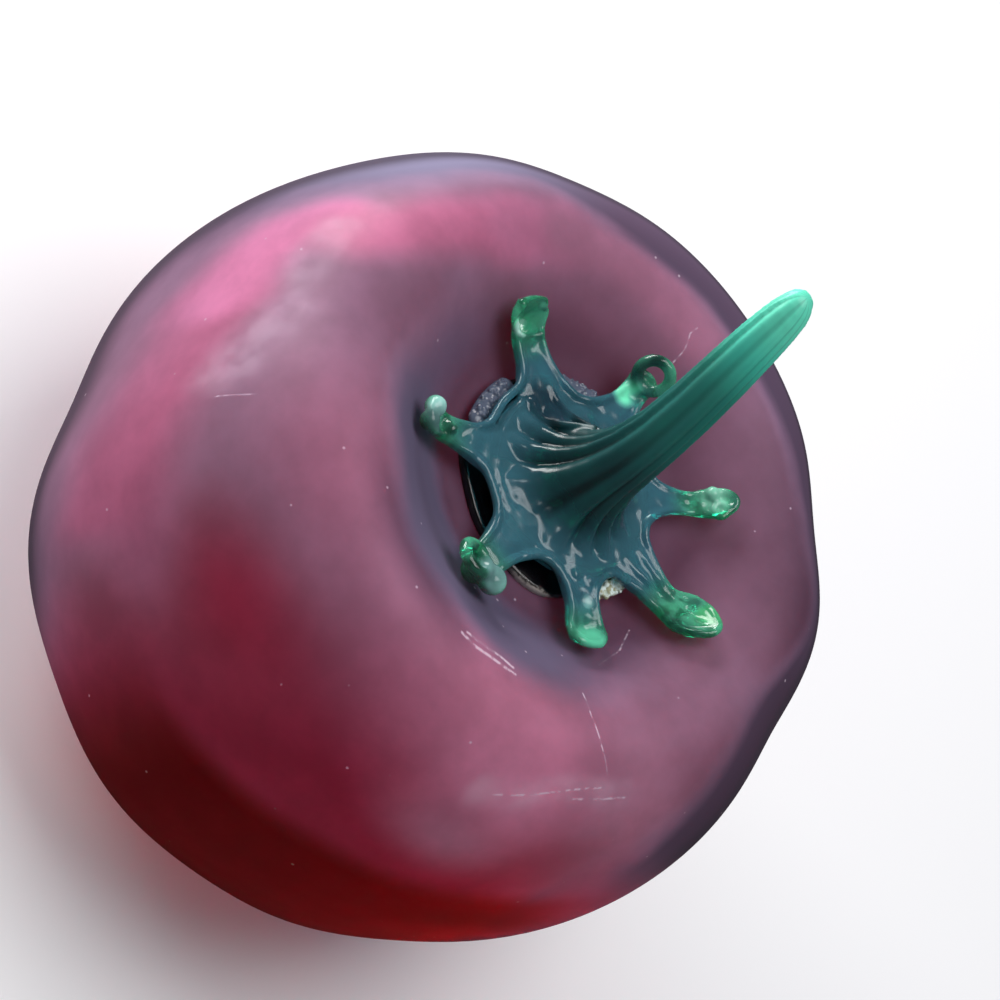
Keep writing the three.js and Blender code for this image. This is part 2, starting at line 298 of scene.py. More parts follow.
# Painted shade: the body colour turns to wine on the low side, to deep red underneath and to red
# low down behind.
look = (BODY_COLOUR, BODY_CLEARNESS)
low_side_shade = soft_spot(ruby, place, *LOW_SIDE_SHADE)
low_right_shade = reckon(ruby, "MULTIPLY", soft_spot(ruby, place, *LOW_RIGHT_SHADE), LOW_RIGHT_SHADE_SHARE)
low_side_shade = reckon(ruby, "MAXIMUM", low_side_shade, low_right_shade)
look = lay_over(ruby, look, low_side_shade, WINE_RED_SHADE, WINE_SHADE_CLEARNESS)
# Painted shade underneath, deep red.
corner = put(ruby, "SeparateXYZ", {0: place})
slant = reckon(ruby, "MULTIPLY_ADD", corner["X"], UNDER_SLANT, corner["Z"])
underneath_shade = ease(ruby, slant, UNDER_FROM * MM, UNDER_FULL * MM)
underneath_shade = reckon(ruby, "MULTIPLY", underneath_shade, soft_spot(ruby, place, *UNDER_SIDE))
look = lay_over(ruby, look, underneath_shade, DEEP_RED_SHADE, DEEP_SHADE_CLEARNESS)
# Painted shade low down behind, red.
low_behind_shade = ease(ruby, corner["Z"], BEHIND_FROM * MM, BEHIND_FULL * MM)
low_behind_shade = reckon(ruby, "MULTIPLY", low_behind_shade, ease(ruby, corner["Y"], -12 * MM, 14 * MM))
look = lay_over(ruby, look, low_behind_shade, BEHIND_RED_SHADE, BEHIND_SHADE_CLEARNESS)
# Painted pink glows and painted shade, patch by patch.
for middle, reach, tint, clear in RUBY_LIGHT_AND_SHADE_PATCHES:
    look = lay_over(ruby, look, soft_spot(ruby, place, middle, reach), tint, clear)
# Painted glows along the near left and the crown.
for width, clear, tint, points in PAINTED_GLOWS:
    look = lay_over(ruby, look, near_line(ruby, skin_plane, points, width), tint, clear)
# Painted shade over the dimple.
dimple = reckon(ruby, "MULTIPLY", soft_spot(ruby, place, *DIMPLE_SHADE_PLACE), DIMPLE_SHADE_SHARE)
look = lay_over(ruby, look, dimple, DIMPLE_SHADE, DIMPLE_SHADE_CLEARNESS)
mottle = put(ruby, "TexNoise", {"Vector": place, "Scale": 120, "Detail": 4, "Roughness": 0.6})["Fac"]
mottle = ease(ruby, mottle, 0.3, 0.7, 0.88, 1.12)
mottled = put(ruby, "VectorMath", {0: look[0], "Scale": mottle}, operation="SCALE")["Vector"]
look = (mottled, look[1])

# The satin skin hazes over where it turns away, sooner inside the dimple and along the far rims,
# and not on the low side. The haze's colour is painted light and shade: grey in the dimple,
# lighter on the top and near left, dark at the far edge, and darker still at the very rim.
out = from_axis(ruby, place)
inside = ease(ruby, out, 33 * MM, 26 * MM)
near_left_lit = soft_spot(ruby, place, *NEAR_LEFT_LIT)
near_top_lit = soft_spot(ruby, place, *NEAR_TOP_LIT)
far_edge_shade = soft_spot(ruby, place, *FAR_EDGE_SHADE)
rear_rim_shade = soft_spot(ruby, place, *REAR_RIM_SHADE)
rear_rim_shade = reckon(ruby, "MULTIPLY", rear_rim_shade, ease(ruby, out, 27.5 * MM, 31.5 * MM))
cloud = put(ruby, "TexNoise", {"Vector": place, "Scale": 70, "Detail": 3})["Fac"]
facing = put(ruby, "LayerWeight", {"Blend": 0.5})["Facing"]
turned_away = reckon(ruby, "MULTIPLY_ADD", reckon(ruby, "SUBTRACT", cloud, 0.5), 0.25, facing)
for where, sooner in ((inside, 0.12), (near_top_lit, 0.12), (far_edge_shade, 0.4), (rear_rim_shade, 0.42)):
    turned_away = reckon(ruby, "MULTIPLY_ADD", where, sooner, turned_away)
haze = ease(ruby, turned_away, 0.42, 0.8)
haze = reckon(ruby, "MULTIPLY", haze, ease(ruby, low_side_shade, 0, 1, 1, 0))
# Painted light and shade in the haze's colour, place by place.
haze_light_and_shade = LIMB_HAZE_SHADE
for where, shade in (
    (inside, DIMPLE_HAZE_SHADE),
    (far_edge_shade, FAR_HAZE_SHADE),
    (near_left_lit, LEFT_HAZE_LIT),
    (near_top_lit, TOP_HAZE_LIT),
):
    haze_light_and_shade = blend(ruby, where, haze_light_and_shade, shade)
# Painted shade: the haze darkens further at the very rim.
haze_light_and_shade = blend(ruby, ease(ruby, facing, 0.72, 0.88, 0, 0.85), haze_light_and_shade, EDGE_PAINTED_SHADE)
look = lay_over(ruby, look, haze, haze_light_and_shade, HAZE_CLEARNESS)

# Dust, broken scratches and smoky scuffs lie on top of the skin; two of the scuffs, on the near
# left, are a painted sheen highlight.
specks = put(ruby, "TexVoronoi", {"Vector": place, "Scale": 330})
dust = ease(ruby, specks["Distance"], 0.075, 0.035)
dust = reckon(ruby, "MULTIPLY", dust, ease(ruby, specks["Color"], 0.58, 0.62))
wear_and_sheen = reckon(ruby, "MULTIPLY", dust, 0.55)
broken = put(ruby, "TexNoise", {"Vector": place, "Scale": 1100, "Detail": 2})["Fac"]
broken = ease(ruby, broken, 0.40, 0.58, 0.1, 0.75)
smoky = put(ruby, "TexNoise", {"Vector": place, "Scale": 260, "Detail": 3})["Fac"]
smoky = ease(ruby, smoky, 0.3, 0.7, 0.08, 0.30)
# Scratches, scuffs, and the pale streaks of painted sheen highlight.
for marks, strength in ((SCRATCHES, broken), (SCUFFS_AND_SHEEN_STREAKS, smoky)):
    for width, points in marks:
        mark = reckon(ruby, "MULTIPLY", near_line(ruby, skin_plane, points, width), strength)
        wear_and_sheen = reckon(ruby, "MAXIMUM", wear_and_sheen, mark)
colour, clearness = lay_over(ruby, look, wear_and_sheen, WEAR_AND_SHEEN_COLOUR, WEAR_AND_SHEEN_CLEARNESS)

satin = ease(ruby, cloud, 0.3, 0.7, 0.46, 0.56)
satin = between(ruby, haze, satin, HAZE_ROUGHNESS)
ruby.node_tree.links.new(colour, glass.inputs["Base Color"])
ruby.node_tree.links.new(clearness, glass.inputs["Transmission Weight"])
ruby.node_tree.links.new(satin, glass.inputs["Roughness"])
glass.inputs["IOR"].default_value = 1.33
glass.inputs["Specular IOR Level"].default_value = 0.2
glass.inputs["Specular Tint"].default_value = RUBY_SHEEN
depths = put(ruby, "VolumeAbsorption", {"Color": RUBY_DEPTHS, "Density": RUBY_DENSITY})
ruby.node_tree.links.new(depths["Volume"], ruby.node_tree.nodes["Material Output"].inputs["Volume"])
fruit.data.materials.clear()
fruit.data.materials.append(ruby)
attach(fruit, "root")
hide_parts("fruit_body")

# The cement bed: clear cement poured into the dimple to hold the green glass. It set as a
# thin glossy pad, whitened where its edge feathers out. Its near-black colour is painted shade,
# for the shade in the gap under the green glass, and less whitening by the near gap keeps it dark.
BED_RADIUS = 13.2
BED_FLOOR = 61.05
BED_THICKNESS = 0.9
BED_MIDDLE = BED_FLOOR + BED_THICKNESS / 2
BED_ROUNDING = 0.6
BED_WAVER = 0.35
PAD_PAINTED_SHADE = (0.012, 0.006, 0.012, 1)
PAD_WHITENED = (0.62, 0.56, 0.50, 1)
NEAR_GAP_SHADE = ((8, -10.7, 61.5), (9, 9, 9), 0.5)
CEMENT_ROUGHNESS = 0.12
CEMENT_IOR = 1.45

bpy.ops.object.select_all(action="DESELECT")
bpy.ops.mesh.primitive_cylinder_add(
    vertices=160,
    radius=BED_RADIUS * MM,
    depth=BED_THICKNESS * MM,
    location=(0, 0, BED_MIDDLE * MM),
)
bed = bpy.context.object
bed.name = "cement_pad"
bpy.ops.object.transform_apply(location=True)
bpy.ops.object.mode_set(mode="EDIT")
bpy.ops.mesh.select_all(action="DESELECT")
bpy.ops.object.mode_set(mode="OBJECT")
for edge in bed.data.edges:
    edge.select = all(bed.data.vertices[i].co.z > BED_MIDDLE * MM for i in edge.vertices)
bpy.ops.object.mode_set(mode="EDIT")
bpy.ops.mesh.bevel(offset=BED_ROUNDING * MM, segments=5, profile=0.5)
bpy.ops.mesh.select_all(action="DESELECT")
bpy.ops.object.mode_set(mode="OBJECT")
for vertex in bed.data.vertices:
    azimuth = math.atan2(vertex.co.y, vertex.co.x)
    swell = 1 + BED_WAVER * (math.sin(5 * azimuth) + math.cos(8 * azimuth)) / 2 / BED_RADIUS
    vertex.co.x *= swell
    vertex.co.y *= swell
bpy.ops.object.shade_smooth_by_angle(angle=math.radians(50))

pad_cement = bpy.data.materials.new("clear_pad_cement")
pad_cement.use_nodes = True
resin = pad_cement.node_tree.nodes["Principled BSDF"]
place = put(pad_cement, "TexCoord", {})["Object"]
mottle = put(pad_cement, "TexNoise", {"Vector": place, "Scale": 900, "Detail": 3})["Fac"]
out = reckon(pad_cement, "MULTIPLY_ADD", mottle, 1.6 * MM, from_axis(pad_cement, place))
feather = ease(pad_cement, out, 13.6 * MM, 14.3 * MM)
# Painted shade: the pale edge is held back by the near gap.
near_gap_shade = soft_spot(pad_cement, place, *NEAR_GAP_SHADE)
feather = reckon(pad_cement, "MULTIPLY", feather, ease(pad_cement, near_gap_shade, 0, 1, 0.2, 1))
# The pad is near black as painted shade, and pale where it feathers out.
colour = blend(pad_cement, feather, PAD_PAINTED_SHADE, PAD_WHITENED)
pad_cement.node_tree.links.new(colour, resin.inputs["Base Color"])
clearness = ease(pad_cement, feather, 0, 1, 0.9, 0.4)
pad_cement.node_tree.links.new(clearness, resin.inputs["Transmission Weight"])
resin.inputs["Roughness"].default_value = CEMENT_ROUGHNESS
resin.inputs["IOR"].default_value = CEMENT_IOR
bed.data.materials.clear()
bed.data.materials.append(pad_cement)
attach(bed, "root")
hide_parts("cement_bed")

# The squeezed-out cement: what came up past the edge of the green glass when it was pressed
# home. On the far left and at the rear it is clear and full of bubbles; at the near right
# it dried to a pale grainy crust.
FILM_CLEAR = (0.20, 0.24, 0.34, 1)
FILM_BUBBLE = (0.62, 0.64, 0.70, 1)
CRUST_SHADE = (0.38, 0.38, 0.24, 1)
CRUST_PALE = (0.74, 0.86, 0.82, 1)
CEMENT_GRAIN = 0.12
chance = random.Random(7)


def row_of_drops(half_count, radius, height, size, flat):
    """Drops side by side along a whole arc: share of the arc, radius, height, size, flatness."""
    return [(step / half_count, radius, height, size, flat) for step in range(-half_count, half_count + 1)]


def strewn_drops(count, radii, heights, sizes, flat):
    """Small drops strewn along a whole arc, each within the limits given."""
    drops = []
    for drop in range(count):
        share = chance.uniform(-1, 1)
        radius = chance.uniform(*radii)
        height = chance.uniform(*heights)
        size = chance.uniform(*sizes)
        drops.append((share, radius, height, size, flat))
    return drops


def squeezed_out(name, azimuth, span, drops):
    """A run of cement built up from drops along an arc."""
    pieces = []
    for share, radius, height, size, flat in drops:
        turn = math.radians(azimuth + share * span / 2)
        bpy.ops.object.select_all(action="DESELECT")
        bpy.ops.mesh.primitive_uv_sphere_add(
            segments=24,
            ring_count=12,
            radius=size * MM,
            location=(radius * MM * math.cos(turn), radius * MM * math.sin(turn), height * MM),
            scale=(1, 1, flat),
        )
        pieces.append(bpy.context.object)
    for piece in pieces:
        piece.select_set(True)
    bpy.ops.object.join()
    bpy.ops.object.transform_apply(location=True, rotation=True, scale=True)
    run = bpy.context.object
    run.name = name
    melt = run.modifiers.new("run_together", "REMESH")
    melt.mode = "VOXEL"
    melt.voxel_size = CEMENT_GRAIN * MM
    bpy.ops.object.modifier_apply(modifier=melt.name)
    relax = run.modifiers.new("relax", "SMOOTH")
    relax.factor = 0.5
    relax.iterations = 3
    bpy.ops.object.modifier_apply(modifier=relax.name)
    bpy.ops.object.shade_smooth()
    return run


sheet = row_of_drops(5, 12.7, 62.3, 1.35, 0.55)
bubbles = strewn_drops(60, (11.8, 13.9), (62.6, 63.1), (0.16, 0.4), 0.9)
film_left = squeezed_out("cement_film_far_left", 199, 27, sheet + bubbles)
sheet = row_of_drops(4, 12.6, 62.25, 1.25, 0.55)
bubbles = strewn_drops(44, (11.8, 13.7), (62.5, 62.95), (0.14, 0.32), 0.9)
film_rear = squeezed_out("cement_film_at_rear", 136, 24, sheet + bubbles)
core = row_of_drops(3, 12.8, 62.4, 0.8, 0.7)
grains = strewn_drops(140, (12.0, 13.7), (62.3, 63.2), (0.14, 0.36), 1)
crust = squeezed_out("cement_grainy_crust", 355, 27, core + grains)

film_cement = bpy.data.materials.new("clear_bubbly_cement")
film_cement.use_nodes = True
resin = film_cement.node_tree.nodes["Principled BSDF"]
place = put(film_cement, "TexCoord", {})["Object"]
froth = put(film_cement, "TexVoronoi", {"Vector": place, "Scale": 1700})["Distance"]
bubble = ease(film_cement, froth, 0.32, 0.16)
colour = blend(film_cement, bubble, FILM_CLEAR, FILM_BUBBLE)
film_cement.node_tree.links.new(colour, resin.inputs["Base Color"])
clearness = ease(film_cement, bubble, 0, 1, 0.5, 0.4)
film_cement.node_tree.links.new(clearness, resin.inputs["Transmission Weight"])
resin.inputs["Roughness"].default_value = CEMENT_ROUGHNESS
resin.inputs["IOR"].default_value = CEMENT_IOR

crust_cement = bpy.data.materials.new("pale_grainy_cement")
crust_cement.use_nodes = True
chalk = crust_cement.node_tree.nodes["Principled BSDF"]
place = put(crust_cement, "TexCoord", {})["Object"]
grain = put(crust_cement, "TexNoise", {"Vector": place, "Scale": 1500, "Detail": 4})["Fac"]
paler = ease(crust_cement, grain, 0.38, 0.6)
colour = blend(crust_cement, paler, CRUST_SHADE, CRUST_PALE)
crust_cement.node_tree.links.new(colour, chalk.inputs["Base Color"])
chalk.inputs["Roughness"].default_value = 0.7

for run, node, finish, slot in (
    (film_left, "cement_film_left", film_cement, "clear_cement"),
    (film_rear, "cement_film_rear", film_cement, "clear_cement"),
    (crust, "cement_crust", crust_cement, "pale_cement"),
):
    run.data.materials.clear()
    run.data.materials.append(finish)
    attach(run, "root")
    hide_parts(node)

# The calyx and stem: one bit of green glass, dropped hot, pinched with tweezers into seven
# sepals and drawn up from the middle into a leaning, ribbed stem. It stands on the cement.
# The sepals' ends are painted bright, a painted glow of light through them, and the stem has
# the same satin skin as the fruit.

# Sepals: direction in degrees, reach, lift of the end, then half widths along them.
SEPALS = (
    (16, 23.9, 0.3, ((12.4, 3.3), (15, 2.4), (17.5, 2.1), (20.3, 3.0), (22.2, 2.2))),
    (61, 22.6, 0.6, ((12.4, 2.5), (15, 1.6), (17.5, 1.4), (19.8, 1.8), (21.6, 1.3))),
    (112, 19.2, 1.0, ((12.4, 2.7), (14.5, 1.9), (16.5, 1.7), (18.2, 1.7))),
    (168, 20.9, 0.8, ((12.4, 3.2), (14.5, 2.4), (17.5, 2.2), (20.2, 2.3))),
    (231, 22.0, 0.5, ((12.4, 2.9), (15.5, 1.8), (18.5, 1.6), (20.5, 2.0))),
    (282.5, 22.3, 0.3, ((12.4, 3.0), (15, 2.3), (18, 2.1), (20.5, 2.4))),
    (332.5, 19.9, 0.2, ((12.2, 2.7), (14.5, 2.1), (16.8, 2.4), (18.5, 2.4))),
)
# Edge of the web between one sepal and the next: direction, radius.
SCALLOPS = ((39, 11.6), (87, 12.0), (140, 11.0), (200, 12.4), (257, 12.0), (307, 11.2), (355, 11.7))
# How a sepal lies on the dimple's wall: radius, and height at that radius.
WALL_RADII = (0, 16, 17, 18, 19, 20, 21, 22, 23, 24)
SEPAL_HEIGHTS = (63.78, 63.79, 63.84, 64.0, 64.46, 65.13, 65.87, 66.64, 67.38, 68.1)
LIFT_FROM = 5
green_bits = []


def sepal_height(radius, reach, lift):
    """Height of a sepal's middle, which lies along the web and then up the dimple's wall."""
    along_wall = float(np.interp(radius, WALL_RADII, SEPAL_HEIGHTS))
    return along_wall + lift * (max(radius - LIFT_FROM, 0) / (reach - LIFT_FROM)) ** 3


def around(azimuth, out, side, height):
    """A point given outward and sideways from a sepal's own line."""
    turn = math.radians(azimuth)
    return (
        MM * (out * math.cos(turn) - side * math.sin(turn)),
        MM * (out * math.sin(turn) + side * math.cos(turn)),
        MM * height,
    )


def draw_arm(azimuth, rings):
    """A flattened arm drawn outward ring by ring: outward, height, half width, half thickness."""
    out, height, half_width, half_thick = rings[0]
    bpy.ops.object.select_all(action="DESELECT")
    bpy.ops.mesh.primitive_circle_add(
        vertices=28,
        radius=MM,
        fill_type="NGON",
        location=(out * MM, 0, height * MM),
        rotation=(0, math.pi / 2, 0),
    )
    bpy.ops.object.transform_apply(location=True, rotation=True)
    bpy.ops.object.mode_set(mode="EDIT")
    bpy.ops.mesh.select_all(action="SELECT")
    bpy.ops.transform.resize(value=(1, half_width, half_thick), center_override=(out * MM, 0, height * MM))
    for last, ring in zip(rings, rings[1:]):
        step = ((ring[0] - last[0]) * MM, 0, (ring[1] - last[1]) * MM)
        bpy.ops.mesh.extrude_region_move(TRANSFORM_OT_translate={"value": step})
        bpy.ops.transform.resize(
            value=(1, ring[2] / last[2], ring[3] / last[3]), center_override=(ring[0] * MM, 0, ring[1] * MM)
        )
    bpy.ops.mesh.select_all(action="SELECT")
    bpy.ops.mesh.normals_make_consistent(inside=False)
    bpy.ops.object.mode_set(mode="OBJECT")
    arm = bpy.context.object
    arm.data.transform(Matrix.Rotation(math.radians(azimuth), 4, "Z"))
    green_bits.append(arm)


def trail(thickness, closed, points):
    """A thread of hot glass laid along points."""
    bpy.ops.object.select_all(action="DESELECT")
    bpy.ops.curve.primitive_bezier_curve_add()
    thread = bpy.context.object
    thread.data.dimensions = "3D"
    thread.data.bevel_depth = thickness * MM
    thread.data.bevel_resolution = 4
    thread.data.use_fill_caps = True
    line = thread.data.splines[0]
    line.bezier_points.add(len(points) - 2)
    line.use_cyclic_u = closed
    line.resolution_u = 8
    for knot, point in zip(line.bezier_points, points):
        knot.co = point
        knot.radius = 1
        knot.handle_left_type = "AUTO"
        knot.handle_right_type = "AUTO"
    bpy.ops.object.convert(target="MESH")
    green_bits.append(bpy.context.object)


def lump(azimuth, out, side, height, radius, flat=1):
    """A rounded drop on a sepal."""
    bpy.ops.object.select_all(action="DESELECT")
    bpy.ops.mesh.primitive_uv_sphere_add(
        segments=32,
        ring_count=16,
        radius=radius * MM,
        location=around(azimuth, out, side, height),
        scale=(1, 1, flat),
    )
    bpy.ops.object.transform_apply(location=True, rotation=True, scale=True)
    green_bits.append(bpy.context.object)


def curl(azimuth, out, side, height, radius, thickness, tilt):
    """A sepal's end curled round into a ring."""
    bpy.ops.object.select_all(action="DESELECT")
    bpy.ops.mesh.primitive_torus_add(
        major_segments=40,
        minor_segments=16,
        major_radius=radius * MM,
        minor_radius=thickness * MM,
        location=around(azimuth, out, side, height),
        rotation=(0, math.radians(tilt), math.radians(azimuth)),
    )
    bpy.ops.object.transform_apply(location=True, rotation=True, scale=True)
    green_bits.append(bpy.context.object)


# The web is a shallow dish on a foot, turned from its profile of radius and height.
WEB_PROFILE = ((0, 62), (9.6, 62), (10.7, 62.6), (11.2, 63.2), (11.1, 64), (10.4, 64.5), (9, 64.3), (0, 64.3))

bpy.ops.object.select_all(action="DESELECT")
bpy.ops.mesh.primitive_plane_add(size=MM)
web = bpy.context.object
bpy.ops.object.mode_set(mode="EDIT")
bpy.ops.mesh.select_all(action="SELECT")
bpy.ops.mesh.merge(type="CENTER")
bpy.ops.transform.translate(value=(0, 0, WEB_PROFILE[0][1] * MM))
for last, point in zip(WEB_PROFILE, WEB_PROFILE[1:]):
    step = ((point[0] - last[0]) * MM, 0, (point[1] - last[1]) * MM)
    bpy.ops.mesh.extrude_region_move(TRANSFORM_OT_translate={"value": step})
bpy.ops.mesh.select_all(action="SELECT")
bpy.ops.mesh.spin(steps=96, angle=2 * math.pi, center=(0, 0, 0), axis=(0, 0, 1))
bpy.ops.mesh.select_all(action="SELECT")
bpy.ops.mesh.remove_doubles(threshold=WELD)
bpy.ops.mesh.normals_make_consistent(inside=False)
bpy.ops.object.mode_set(mode="OBJECT")
green_bits.append(web)

# The sepals are arms drawn out over it, with a bead round their edges and the web's.
SEPAL_ROOT = ((4, 63.6, 4.2, 0.9), (9, 63.7, 4.0, 0.9))
SEPAL_HALF_THICKNESS = 0.95
SEPAL_SINK = 0.1
BEAD_RADIUS = 0.55
BEAD_INSET = 0.45
WEB_EDGE_HEIGHT = 64.35
rim = []
for (azimuth, reach, lift, widths), (scallop, scallop_radius) in zip(SEPALS, SCALLOPS):
    last_out, last_width = widths[-1]
    near_end = (last_out + reach) / 2
    rings = list(SEPAL_ROOT)
    for out, half_width in widths:
        rings.append((out, sepal_height(out, reach, lift) - SEPAL_SINK, half_width, SEPAL_HALF_THICKNESS))
    rings.append((near_end, sepal_height(near_end, reach, lift), last_width * 0.8, 0.8))
    rings.append((reach - 0.35, sepal_height(reach, reach, lift), last_width * 0.4, 0.5))
    draw_arm(azimuth, rings)
    beads = []
    for out, half_width in widths:
        beads.append((out, half_width - BEAD_INSET, sepal_height(out, reach, lift) + BEAD_INSET))
    rim += [around(azimuth, out, -side, height) for out, side, height in beads]
    rim.append(around(azimuth, reach - 0.6, 0, sepal_height(reach - 0.6, reach, lift) + 0.35))
    rim += [around(azimuth, out, side, height) for out, side, height in reversed(beads)]
    rim.append(around(scallop, scallop_radius - 0.4, 0, WEB_EDGE_HEIGHT))
trail(BEAD_RADIUS, True, rim)

# Their ends were pinched: a folded tab, lumps, curls, a lobe and a loop. Each is placed by
# direction, outward, sideways and height.
trail(0.55, False, [around(168, 17.2, -1.9, 65.1), around(168, 17.5, 0, 65.0), around(168, 17.2, 1.9, 65.1)])
trail(0.75, False, [around(168, 20.3, -2.0, 66.8), around(168, 20.6, 0, 66.9), around(168, 20.3, 2.0, 66.8)])
lump(231, 20.6, -0.9, 66.5, 1.25)
lump(231, 21.0, 0.9, 66.2, 1.15)
lump(231, 17.6, 0.2, 64.9, 1.0)
curl(282.5, 20.3, -1.4, 67.0, 1.9, 0.72, -25)
lump(282.5, 19.5, 1.6, 66.0, 1.75, 0.85)
lump(282.5, 21.0, -0.6, 66.1, 1.5, 0.7)
lump(61, 19.6, 1.0, 66.2, 0.95)
curl(61, 20.3, -1.0, 66.6, 0.85, 0.45, -30)
curl(112, 17.7, 0.1, 67.3, 1.95, 0.75, -60)

# Folds run from the far sepal's root into the stem, and threads along the near right sepal.
# Thickness, then direction, outward and height along each.
FOLDS = (
    (0.5, (
        (163, 11.2, 64.3), (161, 9.4, 64.6), (157, 7.8, 65.1),
        (150, 6.7, 65.9), (140, 5.9, 66.8), (128, 5.2, 67.9),
    )),
    (0.5, (
        (181, 10.3, 64.3), (184, 8.4, 64.7), (183, 7.1, 65.5),
        (174, 6.1, 66.4), (160, 5.3, 67.5), (146, 4.7, 68.8),
    )),
    (0.42, ((22.5, 11.2, 64.5), (19.5, 14.5, 64.75), (18, 18, 64.9))),
    (0.4, ((11.2, 10.8, 64.4), (12, 13, 64.6), (13.7, 15, 64.7))),
)
for thickness, line in FOLDS:
    trail(thickness, False, [around(azimuth, out, 0, height) for azimuth, out, height in line])
lump(332.5, 11.2, -0.9, 64.35, 0.6)
lump(332.5, 11.7, 1.0, 64.35, 0.6)

# The stem is a ribbed ring, drawn up and leaned, that narrows as it goes.
STEM_RIBS = 11
RIB_DEPTH = 0.12
RIB_BALANCE = 1.3
RIB_WAVER = (0.16, 0.08)
OUT_OF_ROUND = 0.02
STEM_FOOT = 63.8
STEM_RISE = 35
STEM_BELLY = 2.2
STEM_LEAN = (-6.4, 9.5)
LEAN_POWER = 1.5
# Rings of the stem: height, radius.
STEM_RINGS = (
    (63.5, 10.4), (64.3, 9.4), (64.9, 8.1), (65.6, 6.9), (66.5, 5.9), (67.6, 5.1),
    (69.0, 4.45), (71, 3.85), (74, 3.4), (78, 3.1), (83, 2.95), (88, 2.8),
    (92, 2.6), (95, 2.35), (96.8, 2.05), (97.9, 1.6), (98.5, 1.05), (98.75, 0.5),
)


def stem_middle(height):
    """The stem's middle at a height: it bellies one way at first, then leans back and aside."""
    share = max(height - STEM_FOOT, 0) / STEM_RISE
    lean = share ** LEAN_POWER
    side = STEM_BELLY * math.sin(math.pi * share) * (1 - share) + STEM_LEAN[0] * lean
    return (side * MM, STEM_LEAN[1] * lean * MM, height * MM)


bpy.ops.object.select_all(action="DESELECT")
bpy.ops.mesh.primitive_circle_add(
    vertices=220, radius=STEM_RINGS[0][1] * MM, fill_type="NGON", location=(0, 0, STEM_RINGS[0][0] * MM)
)
stem = bpy.context.object
bpy.ops.object.transform_apply(location=True)
for vertex in stem.data.vertices:
    azimuth = math.atan2(vertex.co.y, vertex.co.x)
    uneven = azimuth + RIB_WAVER[0] * math.sin(2 * azimuth) + RIB_WAVER[1] * math.sin(3 * azimuth + 1)
    rib = 2 * abs(math.cos(STEM_RIBS / 2 * uneven)) - RIB_BALANCE
    swell = 1 + RIB_DEPTH * rib + OUT_OF_ROUND * math.cos(5 * azimuth)
    vertex.co.x *= swell
    vertex.co.y *= swell
bpy.ops.object.mode_set(mode="EDIT")
bpy.ops.mesh.select_all(action="SELECT")
for (last_height, last_radius), (height, radius) in zip(STEM_RINGS, STEM_RINGS[1:]):
    start = stem_middle(last_height)
    end = stem_middle(height)
    step = tuple(b - a for a, b in zip(start, end))
    bpy.ops.mesh.extrude_region_move(TRANSFORM_OT_translate={"value": step})
    bpy.ops.transform.resize(value=(radius / last_radius, radius / last_radius, 1), center_override=end)
bpy.ops.mesh.select_all(action="SELECT")
bpy.ops.mesh.normals_make_consistent(inside=False)
bpy.ops.object.mode_set(mode="OBJECT")
green_bits.append(stem)

# All of it melts into one piece, which the tweezers then dent.
# Dents: direction in degrees, outward, sideways, radius, depth.
DENTS = (
    (168, 19.0, 0, 1.2, 3.0),
    (168, 15.6, 0, 1.2, 0.8),
    (16, 20.0, 0.4, 0.6, 0.6),
    (16, 21.0, 0.4, 0.6, 0.65),
    (16, 22.0, 0.4, 0.6, 0.6),
    (16, 16.5, 0, 1.2, 0.5),
    (332.5, 17.4, 0, 1.3, 0.9),
    (332.5, 14.2, 0, 1.0, 0.5),
    (61, 16.8, 0, 1.0, 0.5),
    (61, 21.2, 0.2, 0.8, 0.5),
    (231, 19.0, 0, 0.9, 0.6),
    (231, 15.4, 0, 0.9, 0.5),
    (282.5, 17.4, 0, 1.2, 0.6),
    (112, 15.3, 0, 1.0, 0.5),
)
MELT_GRAIN = 0.2
DENTED_BELOW = 68
DENT_FADE = 2
RIPPLE_SIZE = 1.5
RIPPLE_DEPTH = 0.2

bpy.ops.object.select_all(action="DESELECT")
for bit in green_bits:
    bit.select_set(True)
bpy.context.view_layer.objects.active = web
bpy.ops.object.join()
calyx = bpy.context.object
calyx.name = "calyx_with_stem"
melt = calyx.modifiers.new("melt_together", "REMESH")
melt.mode = "VOXEL"
melt.voxel_size = MELT_GRAIN * MM
bpy.ops.object.modifier_apply(modifier=melt.name)
relax = calyx.modifiers.new("relax", "SMOOTH")
relax.factor = 0.5
relax.iterations = 6
bpy.ops.object.modifier_apply(modifier=relax.name)
dents = []
for azimuth, out, side, radius, depth in DENTS:
    dents.append((Vector(around(azimuth, out, side, 0)).xy, radius * MM, depth * MM))
rippled = calyx.vertex_groups.new(name="rippled")
upward = [max(vertex.normal.z, 0) for vertex in calyx.data.vertices]
for vertex, share in zip(calyx.data.vertices, upward):
    low = min(max((DENTED_BELOW * MM - vertex.co.z) / (DENT_FADE * MM), 0), 1)
    if share * low > 0:
        pressed = 0
        for middle, radius, depth in dents:
            pressed += depth * math.exp(-((vertex.co.xy - middle).length / radius) ** 2)
        vertex.co.z -= share * low * pressed
    rippled.add([vertex.index], share * low, "REPLACE")
ripples = bpy.data.textures.new("web_ripples", "CLOUDS")
ripples.noise_scale = RIPPLE_SIZE * MM
ripples.noise_depth = 0
ripple = calyx.modifiers.new("ripple", "DISPLACE")
ripple.texture = ripples
ripple.texture_coords = "LOCAL"
ripple.vertex_group = "rippled"
ripple.mid_level = 0.5
ripple.strength = RIPPLE_DEPTH * MM
bpy.ops.object.modifier_apply(modifier=ripple.name)
bpy.ops.object.shade_smooth()

WEB_GREEN = (0.105, 0.36, 0.47, 1)
